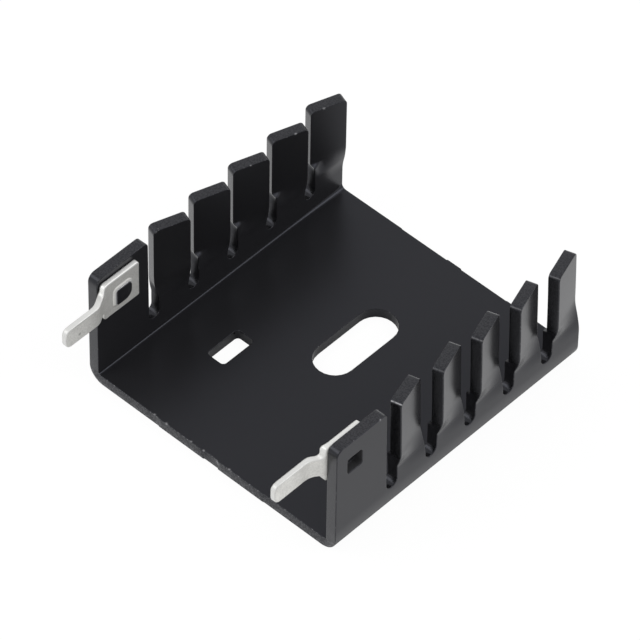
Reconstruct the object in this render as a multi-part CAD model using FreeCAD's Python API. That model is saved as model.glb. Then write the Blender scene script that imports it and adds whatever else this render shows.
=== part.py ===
"""Stamped heat sink with twisted fins and two staked solder tabs.

The body is one sheet of aluminium: blanked, slit into fins and bent up into a channel. Every fin but
the wide one at the near end is twisted about a vertical line, so that air can cross the walls. A
tinned tab is pressed over a square stud on each wide fin and runs out past the near end as a pin.

Frame: X across the channel, Y along it, Z up. The origin is the middle of the base's underside, and
the pins point along -Y. All sizes are in millimetres, and angles in degrees.
"""
import FreeCAD, Part
import math
import os

from FreeCAD import Placement, Rotation, Vector

# Sheet and channel
body_width = 29.97
body_length = 31.75
body_height = 13.3
sheet_thickness = 1.12
bend_inner_radius = 0.35
bend_outer_radius = 1.7

# Fins: the wide one keeps what the pitches of the others leave of the length
fin_count = 5
fin_pitch = 5.05
gap_width = 1.36
gap_floor_height = 2.95
fin_near_corner_radius = 0.5
fin_far_corner_radius = 0.42
wide_fin_near_corner_radius = 0.8
wide_fin_far_corner_radius = 0.5
wide_fin_taper = 0.18

# Twist: each fin turns about a vertical line set back from its near edge
left_row_twist = 19.0
right_row_twist = 17.5
twist_setback = 1.48
near_edge_kick_height = 5.15
near_edge_settled_height = 6.9
far_edge_settled_height = 7.5
left_row_lean = 0.0
right_row_lean = 0.2

# Holes in the base
slot_width = 4.07
slot_length = 9.5
slot_middle_y = 2.8
locating_hole_width = 2.07
locating_hole_length = 4.0
locating_hole_middle_x = -7.63
locating_hole_middle_y = -5.4
locating_hole_corner_radius = 0.4

# Cut line of both ends of the base, where the strip that carried the blank was parted
cut_width = 12.7
cut_step = 0.05
cut_notch_width = 1.6
cut_notch_depth = 0.09

# Stakes: a square stud pushed half through each wide fin
stud_width = 1.86
stud_corner_radius = 0.25
stud_middle_height = 10.4
left_stud_setback = 2.6
right_stud_setback = 2.3
stud_proud_of_tab = 0.25

# Solder tabs, each a bent strip: a plate on the wall, a jog inwards and a pin. The jog's offset sets
# the pins on a grid of tenths of an inch, 25.4 apart. The right plate sits higher and nearer the pins
tab_thickness = 0.62
plate_above_stud = 2.25
plate_below_stud = 1.95
plate_far_reach = 2.1
plate_near_reach = 2.4
right_plate_rise = 0.36
right_plate_advance = 0.1
plate_corner_radius = 0.35
dish_width = 2.26
dish_depth = 0.1
pin_height = 2.12
pin_above_stud = 0.33
pin_reach = 7.9
pin_tip_radius = 0.65
pin_root_radius = 0.3
jog_offset = 0.855
left_jog_angle = 30.0
right_jog_angle = 40.0
jog_bend_radius = 1.1

# Places that follow from the sizes
half_width = body_width / 2
wall_inner = half_width - sheet_thickness
wall_middle = half_width - sheet_thickness / 2
near_end = -body_length / 2
far_end = body_length / 2
fin_width = fin_pitch - gap_width
wide_fin_far_edge = far_end - fin_count * fin_pitch
fin_root_height = gap_floor_height + gap_width / 2
stud_height = tab_thickness + stud_proud_of_tab


def plan(height):
    """Map an outline's u, v to X, Y at one height."""
    return lambda u, v: Vector(u, v, height)


def side(x):
    """Map an outline's u, v to Y, Z at one x."""
    return lambda u, v: Vector(x, u, v)


def section(y):
    """Map an outline's u, v to X, Z at one y."""
    return lambda u, v: Vector(u, y, v)


def rounded_wire(corners, place):
    """Close a wire through corners (u, v, radius), each rounded by its radius and mapped by place."""
    turns = []
    for before, corner, after in zip(corners[-1:] + corners, corners, corners[1:] + corners[:1]):
        tip, radius = Vector(corner[0], corner[1], 0), corner[2]
        back = (Vector(before[0], before[1], 0) - tip).normalize()
        on = (Vector(after[0], after[1], 0) - tip).normalize()
        half_angle = back.getAngle(on) / 2
        setback = radius / math.tan(half_angle)
        middle = tip + (back + on).normalize() * (radius / math.sin(half_angle) - radius)
        turns.append([place(p.x, p.y) for p in (tip + back * setback, middle, tip + on * setback)])
    edges = []
    for turn, next_turn in zip(turns, turns[1:] + turns[:1]):
        start, middle, end = turn
        if not start.isEqual(end, 1e-7):
            edges.append(Part.Arc(start, middle, end).toShape())
        if not end.isEqual(next_turn[0], 1e-7):
            edges.append(Part.LineSegment(end, next_turn[0]).toShape())
    return Part.Wire(edges)


def slab(corners, place, depth):
    """Extrude a rounded outline by the vector depth."""
    return Part.Face(rounded_wire(corners, place)).extrude(depth)


def rectangle(low, high, radius):
    """Corners of a rectangle between two (u, v) points, all of one radius."""
    return [(low[0], low[1], radius), (high[0], low[1], radius),
            (high[0], high[1], radius), (low[0], high[1], radius)]


def centred_square(middle, width, radius):
    """Corners of a square about a (u, v) point."""
    half = width / 2
    return rectangle((middle[0] - half, middle[1] - half), (middle[0] + half, middle[1] + half), radius)


def mirrored(shape):
    """The same shape on the other wall."""
    return shape.mirror(Vector(0, 0, 0), Vector(1, 0, 0))


def channel():
    """The bent sheet: a flat base with a wall up each side, a step longer than its two cut lines."""
    outline = [
        (-half_width, body_height, 0), (-half_width, 0, bend_outer_radius),
        (half_width, 0, bend_outer_radius), (half_width, body_height, 0),
        (wall_inner, body_height, 0), (wall_inner, sheet_thickness, bend_inner_radius),
        (-wall_inner, sheet_thickness, bend_inner_radius), (-wall_inner, body_height, 0),
    ]
    length = body_length + 2 * sheet_thickness
    return slab(outline, section(near_end - sheet_thickness), Vector(0, length, 0))


def end_trim(end, beyond):
    """What parting the strip takes off one end: all between the cut line there and y = beyond."""
    cut, notch = cut_width / 2, cut_notch_width / 2
    step, floor = end - cut_step, end - cut_step + cut_notch_depth
    corners = [(-body_width, end, 0), (-cut, end, 0), (-cut, step, 0), (-notch - cut_notch_depth, step, 0),
               (-notch, floor, 0), (notch, floor, 0), (notch + cut_notch_depth, step, 0), (cut, step, 0),
               (cut, end, 0), (body_width, end, 0), (body_width, beyond, 0), (-body_width, beyond, 0)]
    return slab(corners, plan(-1), Vector(0, 0, body_height + 2))


def fin_middle(index):
    """Y of the middle of a twisted fin, counted from the wide fin."""
    return wide_fin_far_edge + gap_width + fin_width / 2 + index * fin_pitch


def fin_row_cutters():
    """What clears the walls above the fin roots, and rounds the floor of each gap."""
    cutters = [Part.makeBox(body_width, body_length, body_height,
                            Vector(-half_width, wide_fin_far_edge, fin_root_height))]
    for index in range(fin_count):
        floor = Vector(-half_width, fin_middle(index) - fin_pitch / 2, fin_root_height)
        cutters.append(Part.makeCylinder(gap_width / 2, body_width, floor, Vector(1, 0, 0)))
    return cutters


def wide_fin_corner_cutter():
    """What tapers both wide fins a little and rounds their top corners."""
    across = Vector(body_width, 0, 0)
    low, high = (near_end, fin_root_height), (wide_fin_far_edge, body_height)
    kept = [(low[0], low[1], 0), (high[0], low[1], 0),
            (high[0] - wide_fin_taper, high[1], wide_fin_far_corner_radius),
            (low[0], high[1], wide_fin_near_corner_radius)]
    return slab(rectangle(low, high, 0), side(-half_width), across).cut(slab(kept, side(-half_width), across))


def share_of_rise(height, start, end):
    """How far a height lies between start and end, from 0 to 1."""
    return min(max((height - start) / (end - start), 0), 1)


def fin_section(height, twist, lean):
    """Corners of a fin at one height, from the middle of its root.

    The far edge folds inwards from the root up, gently. The near edge stays in the wall until the
    kick, then turns outwards sharply. The whole fin may lean in a little towards its top.
    """
    slant = math.sin(math.radians(twist))
    near_rise = share_of_rise(height, near_edge_kick_height, near_edge_settled_height)
    far_rise = share_of_rise(height, fin_root_height, far_edge_settled_height)
    near_out = twist_setback * slant * math.sin(near_rise * math.pi / 2)
    far_in = (fin_width - twist_setback) * slant * (1 - math.cos(far_rise * math.pi)) / 2
    turn = math.asin((near_out + far_in) / fin_width)
    lean_in = lean * share_of_rise(height, fin_root_height, body_height) ** 2
    pivot_y = twist_setback - fin_width / 2
    near = Vector(near_out - lean_in, pivot_y - twist_setback * math.cos(turn), height)
    far = Vector(-far_in - lean_in, pivot_y + (fin_width - twist_setback) * math.cos(turn), height)
    across = Vector(math.cos(turn), math.sin(turn), 0) * (sheet_thickness / 2)
    return [near - across, near + across, far + across, far - across]


def fin_loft(low, high, steps, twist, lean):
    """Loft one stretch of a fin through evenly spaced sections."""
    wires = []
    for step in range(steps + 1):
        corners = fin_section(low + (high - low) * step / steps, twist, lean)
        wires.append(Part.makePolygon(corners + corners[:1]))
    return Part.makeLoft(wires, True, steps == 1)


def blade_outline(top, twist):
    """The straight upper part of a fin, seen square on, with its rounded top corners."""
    near, far = -twist_setback, fin_width - twist_setback
    corners = [(near, far_edge_settled_height, 0), (far, far_edge_settled_height, 0),
               (far, top, fin_far_corner_radius), (near, top, fin_near_corner_radius)]
    outline = slab(corners, side(-2 * sheet_thickness), Vector(4 * sheet_thickness, 0, 0))
    pivot = Vector(0, twist_setback - fin_width / 2, 0)
    outline.Placement = Placement(pivot, Rotation(Vector(0, 0, 1), twist))
    return outline


def twisted_fin(twist, lean):
    """One fin of the +X wall about the middle of its root: lower twist, upper twist and blade."""
    lower = fin_loft(fin_root_height, near_edge_kick_height, 3, twist, lean)
    upper = fin_loft(near_edge_kick_height, far_edge_settled_height, 6, twist, lean)
    blade = fin_loft(far_edge_settled_height, body_height, 1, twist, lean)
    return lower.fuse([upper, blade.common(blade_outline(body_height, twist))])


def fin_row(twist, lean):
    """The twisted fins of the +X wall."""
    row = []
    for index in range(fin_count):
        fin = twisted_fin(twist, lean)
        fin.translate(Vector(wall_middle, fin_middle(index), 0))
        row.append(fin)
    return row


def base_cutters():
    """The slot and the locating hole."""
    up = Vector(0, 0, sheet_thickness)
    slot = rectangle((-slot_width / 2, slot_middle_y - slot_length / 2),
                     (slot_width / 2, slot_middle_y + slot_length / 2), slot_width / 2)
    hole_x, hole_y = locating_hole_width / 2, locating_hole_length / 2
    hole = rectangle((locating_hole_middle_x - hole_x, locating_hole_middle_y - hole_y),
                     (locating_hole_middle_x + hole_x, locating_hole_middle_y + hole_y),
                     locating_hole_corner_radius)
    return [slab(slot, plan(0), up), slab(hole, plan(0), up)]


def stud_block(stud_y, x, depth):
    """A block of the stud's outline, from x inwards."""
    corners = centred_square((stud_y, stud_middle_height), stud_width, stud_corner_radius)
    return slab(corners, side(x), Vector(-depth, 0, 0))


def heat_sink_body():
    """The stamped sheet, with its fins, holes and studs."""
    right_stud_y, left_stud_y = near_end + right_stud_setback, near_end + left_stud_setback
    trims = [end_trim(near_end, near_end - body_length), end_trim(far_end, far_end + body_length)]
    shape = channel().cut(trims + fin_row_cutters() + [wide_fin_corner_cutter()] + base_cutters())
    left_fins = [mirrored(fin) for fin in fin_row(left_row_twist, left_row_lean)]
    shape = shape.fuse(fin_row(right_row_twist, right_row_lean) + left_fins)
    shape = shape.fuse([stud_block(right_stud_y, wall_inner, stud_height),
                        mirrored(stud_block(left_stud_y, wall_inner, stud_height))])
    shape = shape.cut([stud_block(right_stud_y, half_width, stud_height),
                       mirrored(stud_block(left_stud_y, half_width, stud_height))])
    return shape.removeSplitter().Solids[0]


def tab_strip(stud_y, plate_near, plate_far, jog_angle):
    """The bent strip in plan, as tall as the wall: flat on the wall, jogged inwards, straight out."""
    outer, inner = wall_inner, wall_inner - tab_thickness
    pin_outer, pin_inner = outer - jog_offset, inner - jog_offset
    angle = math.radians(jog_angle)
    jog_end_y = plate_near - jog_offset / math.tan(angle)
    inner_shift = tab_thickness * math.tan(angle / 2)
    tip_y = stud_y - pin_reach
    small, large = jog_bend_radius, jog_bend_radius + tab_thickness
    corners = [(outer, plate_far, 0), (outer, plate_near, small), (pin_outer, jog_end_y, large),
               (pin_outer, tip_y, 0), (pin_inner, tip_y, 0), (pin_inner, jog_end_y + inner_shift, small),
               (inner, plate_near + inner_shift, large), (inner, plate_far, 0)]
    return slab(corners, plan(0), Vector(0, 0, body_height))


def tab_outline(stud_y, plate_near, plate_far, plate_rise):
    """The strip's outline from the side: the plate, and the narrower pin with its rounded tip."""
    low = stud_middle_height - plate_below_stud + plate_rise
    high = stud_middle_height + plate_above_stud + plate_rise
    pin_low = stud_middle_height + pin_above_stud - pin_height / 2
    pin_high = pin_low + pin_height
    tip_y = stud_y - pin_reach
    corners = [(plate_far, low, 0), (plate_far, high, 0), (plate_near, high, plate_corner_radius),
               (plate_near, pin_high, pin_root_radius), (tip_y, pin_high, pin_tip_radius),
               (tip_y, pin_low, pin_tip_radius), (plate_near, pin_low, pin_root_radius),
               (plate_near, low, plate_corner_radius)]
    return slab(corners, side(0), Vector(half_width, 0, 0))


def tab_hole(stud_y):
    """The square hole that takes the stud, with a shallow flared mouth."""
    face = wall_inner - tab_thickness
    middle = (stud_y, stud_middle_height)
    mouth_radius = stud_corner_radius + (dish_width - stud_width) / 2
    mouth = rounded_wire(centred_square(middle, dish_width, mouth_radius), side(face))
    throat = rounded_wire(centred_square(middle, stud_width, stud_corner_radius), side(face + dish_depth))
    return stud_block(stud_y, wall_inner, tab_thickness).fuse(Part.makeLoft([mouth, throat], True, True))


def solder_tab(setback, plate_rise, plate_advance, jog_angle):
    """A tab on the +X wall, with its stud at the setback from the near end."""
    stud_y = near_end + setback
    plate_near = stud_y - plate_near_reach - plate_advance
    plate_far = stud_y + plate_far_reach - plate_advance
    strip = tab_strip(stud_y, plate_near, plate_far, jog_angle)
    outline = tab_outline(stud_y, plate_near, plate_far, plate_rise)
    return strip.common(outline).cut(tab_hole(stud_y)).Solids[0]


pieces = {
    "heat_sink_body": heat_sink_body(),
    "solder_tab_left": mirrored(solder_tab(left_stud_setback, 0, 0, left_jog_angle)),
    "solder_tab_right": solder_tab(right_stud_setback, right_plate_rise, right_plate_advance,
                                   right_jog_angle),
}
os.makedirs("parts", exist_ok=True)
for name, piece in pieces.items():
    piece.exportStep(f"parts/{name}.step")
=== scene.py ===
"""Dress the heat sink: the folded sheet with its twisted fins, the two solder tabs and the studio.

The sheet and the tabs are made as they are in the shop. A flat blank with rounded cut edges comes
first, in millimetres: u across the blank, v along it and the depth through the metal. It is then
pressed to shape and turned into metres. Sizes follow the part's source.
"""

import logging
import math
from dataclasses import asdict, dataclass, field
from enum import Enum
from typing import Any, Callable, Iterable, Sequence

import bmesh
import bpy
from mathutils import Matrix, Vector
from mathutils.geometry import delaunay_2d_cdt
from mathutils.kdtree import KDTree


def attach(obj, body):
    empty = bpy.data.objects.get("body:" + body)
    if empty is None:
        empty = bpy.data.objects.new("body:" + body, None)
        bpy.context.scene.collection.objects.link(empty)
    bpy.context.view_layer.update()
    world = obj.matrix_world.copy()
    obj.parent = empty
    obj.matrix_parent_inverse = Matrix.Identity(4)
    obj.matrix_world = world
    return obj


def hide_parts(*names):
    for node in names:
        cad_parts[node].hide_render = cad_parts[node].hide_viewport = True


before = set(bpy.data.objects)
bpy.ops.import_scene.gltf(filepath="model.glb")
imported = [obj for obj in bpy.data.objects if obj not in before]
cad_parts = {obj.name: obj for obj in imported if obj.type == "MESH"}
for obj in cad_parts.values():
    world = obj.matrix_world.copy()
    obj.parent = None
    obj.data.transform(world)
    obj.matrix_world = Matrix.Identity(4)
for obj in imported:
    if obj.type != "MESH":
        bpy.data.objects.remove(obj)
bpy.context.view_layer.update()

log = logging.getLogger("heat_sink")

Point = tuple[float, float]
Span = tuple[float, float]
Place = tuple[float, float, float]
Color = tuple[float, float, float]
Ring = list[Point]
Profile = list[tuple[float, float, float]]

MM = 0.001
ARC_STEP = math.radians(15)

# The longest stretch along a cut edge, and the strip inside it that a face keeps clear, in millimetres.
EDGE_SPACING = 0.5
EDGE_MARGIN = 0.2


class Slot(Enum):
    """Material slots of the record."""

    BODY = "black_anodised_aluminium"
    TAB = "tinned_metal"


def arc(middle: Point, radius: float, start: float, end: float) -> Ring:
    """Points along an arc, both ends among them.

    Args:
        middle: The arc's centre.
        radius: Its radius.
        start: First angle, in degrees.
        end: Last angle, in degrees.

    Returns:
        The points in order.
    """
    count = max(2, math.ceil(abs(math.radians(end - start)) / ARC_STEP))
    angles = [math.radians(start + (end - start) * step / count) for step in range(count + 1)]
    return [(middle[0] + radius * math.cos(a), middle[1] + radius * math.sin(a)) for a in angles]


def rounded(corners: list[tuple[float, float, float]], closed: bool = True) -> Ring:
    """Points through corners, each rounded by its own radius.

    Args:
        corners: u, v and radius of each corner.
        closed: Whether the last corner joins the first. An open path keeps its two ends sharp.

    Returns:
        The points in order.
    """
    points: Ring = []
    for index, (u, v, radius) in enumerate(corners):
        is_end = not closed and index in (0, len(corners) - 1)
        if is_end or radius == 0:
            points.append((u, v))
            continue
        tip = Vector((u, v))
        back = (Vector(corners[index - 1][:2]) - tip).normalized()
        on = (Vector(corners[(index + 1) % len(corners)][:2]) - tip).normalized()
        half = back.angle(on) / 2
        middle = tip + (back + on).normalized() * radius / math.sin(half)
        start = tip + back * radius / math.tan(half) - middle
        end = tip + on * radius / math.tan(half) - middle
        first = math.degrees(math.atan2(start.y, start.x))
        turn = math.degrees(math.atan2(start.x * end.y - start.y * end.x, start.dot(end)))
        points.extend(arc((middle.x, middle.y), radius, first, first + turn))
    return points


def rectangle(middle: Point, width: float, length: float, radius: float) -> Ring:
    """A rectangular ring with rounded corners.

    Args:
        middle: Its middle.
        width: Its size along u.
        length: Its size along v.
        radius: Radius of its corners.

    Returns:
        The points in order.
    """
    low_u, high_u = middle[0] - width / 2, middle[0] + width / 2
    low_v, high_v = middle[1] - length / 2, middle[1] + length / 2
    return rounded([(low_u, low_v, radius), (high_u, low_v, radius),
                    (high_u, high_v, radius), (low_u, high_v, radius)])


def divided(ring: Ring, u_lines: list[float], spacing: float) -> Ring:
    """Add points to a ring where it crosses the lines of constant u, and along what runs beside them.

    Args:
        ring: The closed ring.
        u_lines: The lines' values, sorted.
        spacing: Longest stretch left along v.

    Returns:
        The finer ring.
    """
    clear = 0.02
    points: Ring = []
    for (u, v), (next_u, next_v) in zip(ring, ring[1:] + ring[:1]):
        points.append((u, v))
        run, rise = next_u - u, next_v - v
        if abs(run) > abs(rise):
            low, high = sorted((u, next_u))
            shares = sorted((line - u) / run for line in u_lines if low + clear < line < high - clear)
        else:
            count = math.ceil(abs(rise) / spacing)
            shares = [step / count for step in range(1, count)]
        points.extend((u + run * share, v + rise * share) for share in shares)
    return points


def shifted(ring: Ring, distance: float) -> Ring:
    """Move each point of a closed ring square to the ring.

    Args:
        ring: The closed ring.
        distance: How far, to the left of the ring's direction.

    Returns:
        The moved ring.
    """
    points: Ring = []
    for before, here, after in zip(ring[-1:] + ring[:-1], ring, ring[1:] + ring[:1]):
        first = Vector((before[1] - here[1], here[0] - before[0])).normalized()
        second = Vector((here[1] - after[1], after[0] - here[0])).normalized()
        mitre = (first + second) / (1 + first.dot(second))
        points.append((here[0] + mitre.x * distance, here[1] + mitre.y * distance))
    return points


def inside(point: Point, ring: Ring) -> bool:
    """Whether a point lies in a closed ring.

    Args:
        point: The point.
        ring: The closed ring.

    Returns:
        True where a line from the point to one side crosses the ring an odd number of times.
    """
    crossings = 0
    for (u, v), (next_u, next_v) in zip(ring, ring[1:] + ring[:1]):
        if (v > point[1]) != (next_v > point[1]):
            crossings += point[0] < u + (point[1] - v) / (next_v - v) * (next_u - u)
    return crossings % 2 == 1


def at(path: Ring, v: float) -> float:
    """Read a path's second coordinate.

    Args:
        path: The path, whose first coordinate only grows along it.
        v: Value of the first coordinate.

    Returns:
        The second coordinate there.
    """
    for (low_v, low), (high_v, high) in zip(path, path[1:]):
        if v <= high_v:
            return low + (high - low) * (v - low_v) / (high_v - low_v)
    return path[-1][1]


@dataclass
class Blank:
    """A flat piece of metal under construction.

    Its cut mask is 1 on cut edges, and goes up to 2 where a cut leaves the metal bare.
    """

    points: list[Place] = field(default_factory=list)
    cut: list[float] = field(default_factory=list)
    faces: list[tuple[int, ...]] = field(default_factory=list)

    def masks(self) -> dict[str, list[float]]:
        """Find what every piece's material may read.

        Returns:
            The masks of the cut edges, of the bare metal and of the depth, by name.
        """
        return {"cut": [min(cut, 1.0) for cut in self.cut],
                "bare": [max(cut - 1.0, 0.0) for cut in self.cut],
                "depth": [depth for _, _, depth in self.points]}

    def ring(self, points: Ring, depth: float, cut: float) -> list[int]:
        """Add a ring of points at one depth.

        Args:
            points: Their u and v.
            depth: Their depth.
            cut: Their cut mask.

        Returns:
            Their numbers.
        """
        first = len(self.points)
        self.points.extend((u, v, depth) for u, v in points)
        self.cut.extend([cut] * len(points))
        return list(range(first, first + len(points)))

    def band(self, low: list[int], high: list[int]) -> None:
        """Join two rings with a band of faces.

        Args:
            low: Numbers of one ring's points.
            high: Numbers of the other ring's points, as many.
        """
        for index in range(len(low)):
            following = (index + 1) % len(low)
            self.faces.append((low[index], low[following], high[following], high[index]))

    def edge(self, ring: Ring, profile: Profile) -> tuple[list[int], list[int]]:
        """Sweep a profile round a ring.

        Args:
            ring: The closed ring that the profile follows.
            profile: How far in from the ring, how deep and how much of a cut each line is.

        Returns:
            The numbers of the first and the last line's points.
        """
        lines = [self.ring(shifted(ring, inset), depth, cut) for inset, depth, cut in profile]
        for low, high in zip(lines, lines[1:]):
            self.band(low, high)
        return lines[0], lines[-1]

    def fill(self, outer: list[int], holes: Sequence[list[int]] = (), lattice: Iterable[Point] = ()) -> None:
        """Fill the flat face between an outer ring and its holes.

        Args:
            outer: Numbers of the outer ring's points.
            holes: Numbers of each hole's points. Holes are convex.
            lattice: Points that the face should have where there is room for them.
        """
        inner_triangles, tolerance = 1, 1e-7
        rings = [outer, *holes]
        numbers = [number for ring in rings for number in ring]
        depth, cut = self.points[outer[0]][2], self.cut[outer[0]]
        tree = KDTree(len(numbers))
        for number in numbers:
            tree.insert((*self.points[number][:2], 0), number)
        tree.balance()
        hole_rings = [[self.points[number][:2] for number in hole] for hole in holes]
        kept = [p for p in lattice if tree.find((*p, 0))[2] > EDGE_MARGIN]
        kept = [p for p in kept if not any(inside(p, hole) for hole in hole_rings)]
        numbers += self.ring(kept, depth, cut)
        edges, start = [], 0
        for ring in rings:
            count = len(ring)
            edges.extend((start + index, start + (index + 1) % count) for index in range(count))
            start += count
        flat = [Vector(self.points[number][:2]) for number in numbers]
        _, _, faces, origins, _, _ = delaunay_2d_cdt(flat, edges, [], inner_triangles, tolerance)
        hole_sets = [set(hole) for hole in holes]
        for face in faces:
            corners = tuple(numbers[origins[corner][0]] for corner in face)
            if not any(hole.issuperset(corners) for hole in hole_sets):
                self.faces.append(corners)

    def mesh(self, name: str, place: Callable[[float, float, float], Vector] | None = None,
             masks: dict[str, list[float]] | None = None) -> bpy.types.Mesh:
        """Turn the blank into a mesh with outward faces and smooth shading.

        Args:
            name: The mesh's name.
            place: Maps u, v and depth to a place in space, or None to leave the blank flat.
            masks: Further point attributes, beside the blank's own.

        Returns:
            The mesh.
        """
        mesh = bpy.data.meshes.new(name)
        mesh.from_pydata([place(*p) if place else p for p in self.points], [], self.faces)
        for mask, values in (self.masks() | (masks or {})).items():
            mesh.attributes.new(mask, "FLOAT", "POINT").data.foreach_set("value", values)
        work = bmesh.new()
        work.from_mesh(mesh)
        bmesh.ops.delete(work, geom=[v for v in work.verts if not v.link_faces], context="VERTS")
        bmesh.ops.recalc_face_normals(work, faces=work.faces)
        work.to_mesh(mesh)
        work.free()
        mesh.shade_smooth()
        return mesh


def cut_profile(thickness: float, low_round: float, high_round: float) -> Profile:
    """Profile of a cut edge: a tight line on each face, a rounding and the cut between them.

    Args:
        thickness: Thickness of the metal.
        low_round: Rounding of the edge at depth 0.
        high_round: Rounding of the edge at full depth.

    Returns:
        Inset, depth and cut share of each line, from depth 0 up.
    """
    support, steps = 0.05, 3
    low, high = [(low_round + support, 0.0, 0.0)], [(high_round + support, thickness, 0.0)]
    for step in range(steps + 1):
        turn = math.pi / 2 * step / steps
        inset, depth = 1 - math.sin(turn), 1 - math.cos(turn)
        low.append((low_round * inset, low_round * depth, step / steps))
        high.append((high_round * inset, thickness - high_round * depth, step / steps))
    low.append((0.0, low_round + support, 1.0))
    high.append((0.0, thickness - high_round - support, 1.0))
    return low + high[::-1]


@dataclass(frozen=True)
class Socket:
    """A number in a node tree. Python's operators add Math nodes to the tree."""

    graph: "Graph"
    link: bpy.types.NodeSocket

    def calc(self, operation: str, *others: Any, swapped: bool = False) -> "Socket":
        """Add a Math node that works on this number and others."""
        operands = (*others, self) if swapped else (self, *others)
        return self.graph.add("ShaderNodeMath", {"operation": operation}, dict(enumerate(operands)))

    def __add__(self, other: Any) -> "Socket":
        """Sum."""
        return self.calc("ADD", other)

    def __radd__(self, other: Any) -> "Socket":
        """Sum, reflected."""
        return self.calc("ADD", other, swapped=True)

    def __sub__(self, other: Any) -> "Socket":
        """Difference."""
        return self.calc("SUBTRACT", other)

    def __rsub__(self, other: Any) -> "Socket":
        """Difference, reflected."""
        return self.calc("SUBTRACT", other, swapped=True)

    def __mul__(self, other: Any) -> "Socket":
        """Product."""
        return self.calc("MULTIPLY", other)

    def __rmul__(self, other: Any) -> "Socket":
        """Product, reflected."""
        return self.calc("MULTIPLY", other, swapped=True)

    def __truediv__(self, other: Any) -> "Socket":
        """Quotient."""
        return self.calc("DIVIDE", other)

    def __rtruediv__(self, other: Any) -> "Socket":
        """Quotient, reflected."""
        return self.calc("DIVIDE", other, swapped=True)

    def clamped(self, low: float = 0.0, high: float = 1.0) -> "Socket":
        """The number kept between two limits."""
        return self.calc("MAXIMUM", low).calc("MINIMUM", high)

    def share(self, start: Any, end: Any) -> "Socket":
        """How far the number lies between start and end, from 0 to 1."""
        return ((self - start) / (end - start)).clamped()

    def between(self, low: Any, high: Any) -> "Socket":
        """What lies as far from low to high as the number says, low at 0 and high at 1."""
        return low + self * (high - low)

    def hump(self, steepness: float = 4.0) -> "Socket":
        """1 where the number is about a half, falling to 0 where it is 0 or 1."""
        return (self * (1 - self) * steepness).clamped()

    def sine(self, degrees: float) -> "Socket":
        """Sine of the number times an angle in degrees."""
        return (self * (degrees * (math.pi / 180))).calc("SINE")

    def cosine(self, degrees: float) -> "Socket":
        """Cosine of the number times an angle in degrees."""
        return (self * (degrees * (math.pi / 180))).calc("COSINE")


class Graph:
    """Adds nodes to one tree."""

    def __init__(self, tree: bpy.types.NodeTree) -> None:
        """Keep the tree."""
        self.tree = tree

    def add(self, kind: str, settings: dict[str, Any] | None = None, inputs: dict[Any, Any] | None = None,
            output: int | str = 0) -> Socket:
        """Add a node.

        Args:
            kind: The node's type.
            settings: Its own settings, set first.
            inputs: Values or links of its sockets, by name or number.
            output: Which of its outputs is wanted.

        Returns:
            That output.
        """
        node = self.tree.nodes.new(kind)
        for name, value in (settings or {}).items():
            setattr(node, name, value)
        self.feed(node, inputs or {})
        return Socket(self, node.outputs[output])

    def feed(self, node: bpy.types.Node, inputs: dict[Any, Any]) -> None:
        """Link a node's sockets, or set their values.

        Args:
            node: The node.
            inputs: Values or links of its sockets, by name or number.
        """
        for name, value in inputs.items():
            if isinstance(value, Socket):
                self.tree.links.new(value.link, node.inputs[name])
            else:
                node.inputs[name].default_value = value

    def mixed(self, share: Socket, low: Any, high: Any) -> Socket:
        """Blend two colours.

        Args:
            share: How much of the second colour shows.
            low: The first colour, as a link or a Color.
            high: The second colour, likewise.

        Returns:
            The blend.
        """
        low, high = (color if isinstance(color, Socket) else (*color, 1) for color in (low, high))
        factor, first_color, second_color, color_output = 0, 6, 7, 2
        return self.add("ShaderNodeMix", {"data_type": "RGBA"},
                        {factor: share, first_color: low, second_color: high}, color_output)

    def noise(self, place: Socket, scale: float, detail: float = 3.0) -> Socket:
        """A noise over a place in metres."""
        return self.add("ShaderNodeTexNoise", inputs={"Vector": place, "Scale": scale, "Detail": detail})

    def masks(self, *names: str) -> list[Socket]:
        """The piece's own attributes, for a material."""
        return [self.add("ShaderNodeAttribute", {"attribute_name": name}, output="Fac") for name in names]

    def parts(self, vector: Socket, axes: str = "XYZ") -> list[Socket]:
        """The wanted parts of a vector."""
        return [self.add("ShaderNodeSeparateXYZ", inputs={0: vector}, output=axis) for axis in axes]


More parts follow.
